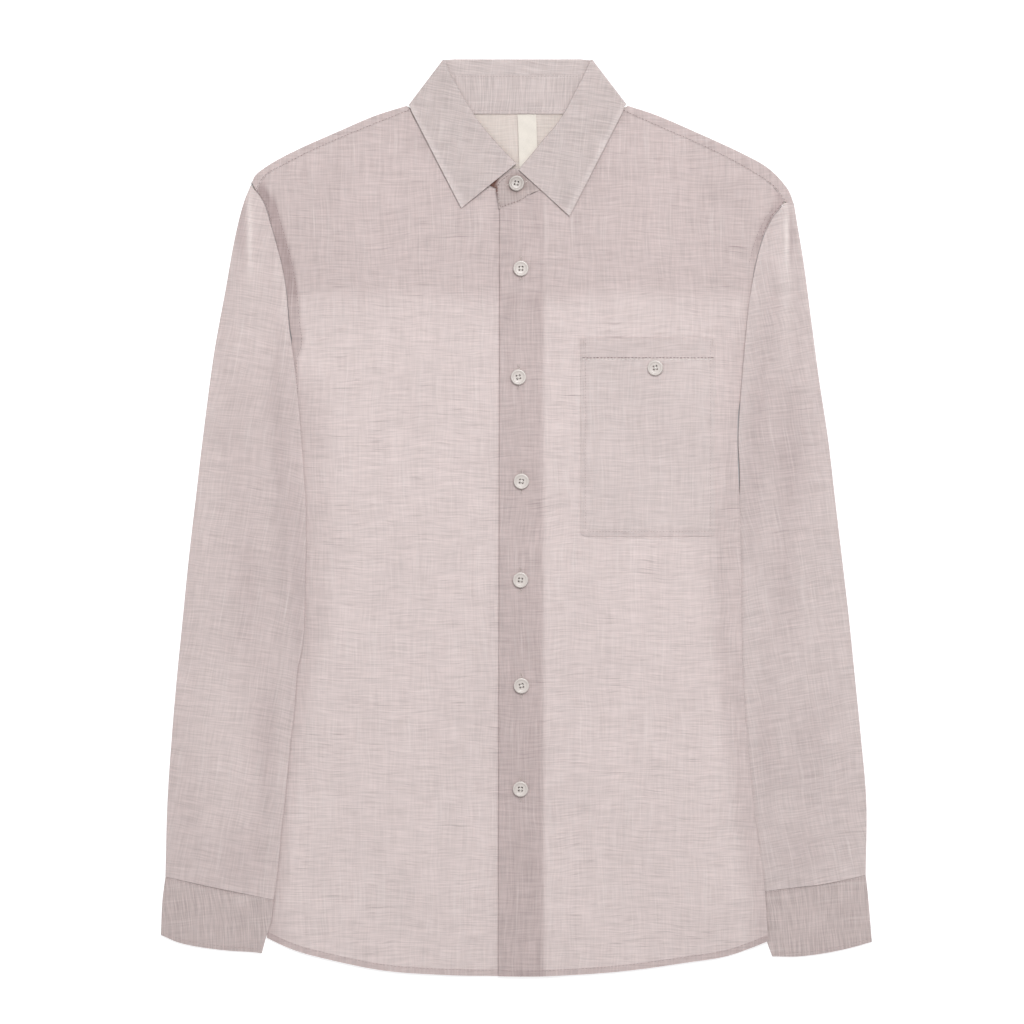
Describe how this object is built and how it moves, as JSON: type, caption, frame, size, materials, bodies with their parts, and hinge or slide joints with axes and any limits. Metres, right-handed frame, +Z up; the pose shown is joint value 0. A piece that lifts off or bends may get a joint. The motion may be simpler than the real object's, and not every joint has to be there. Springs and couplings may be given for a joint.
{
  "type": "long-sleeve shirt",
  "caption": "Long-sleeve button-front shirt in thin slub linen with a pointed collar, chest pocket and banded cuffs, laid flat on its back for wearing or display.",
  "frame": {"origin": "on the table, under the middle of the laid-out shirt", "axes": "+Y from the hem to the collar, +X towards the wearer's left side, +Z up from the table, out of the front"},
  "size_m": [0.6047, 0.7791, 0.0078],
  "materials": {
    "linen": "matte, semi-sheer slub linen",
    "collar_linen": "matte slub linen in two layers",
    "cuff_linen": "matte slub linen in two layers",
    "label": "smooth woven tape",
    "buttons": "pearly, half gloss"
  },
  "bodies": {
    "root": {"back": "linen", "yoke": "linen", "front_right": "linen", "front_left": "linen", "pocket": "linen", "collar": "collar_linen", "collar_stand": "collar_linen", "neck_label": "label", "sleeve_right": "linen", "sleeve_left": "linen", "cuff_right": "cuff_linen", "cuff_left": "cuff_linen", "button_1": "buttons", "button_2": "buttons", "button_3": "buttons", "button_4": "buttons", "button_5": "buttons", "button_6": "buttons", "button_neck": "buttons", "button_pocket": "buttons"}
  },
  "joints": []
}
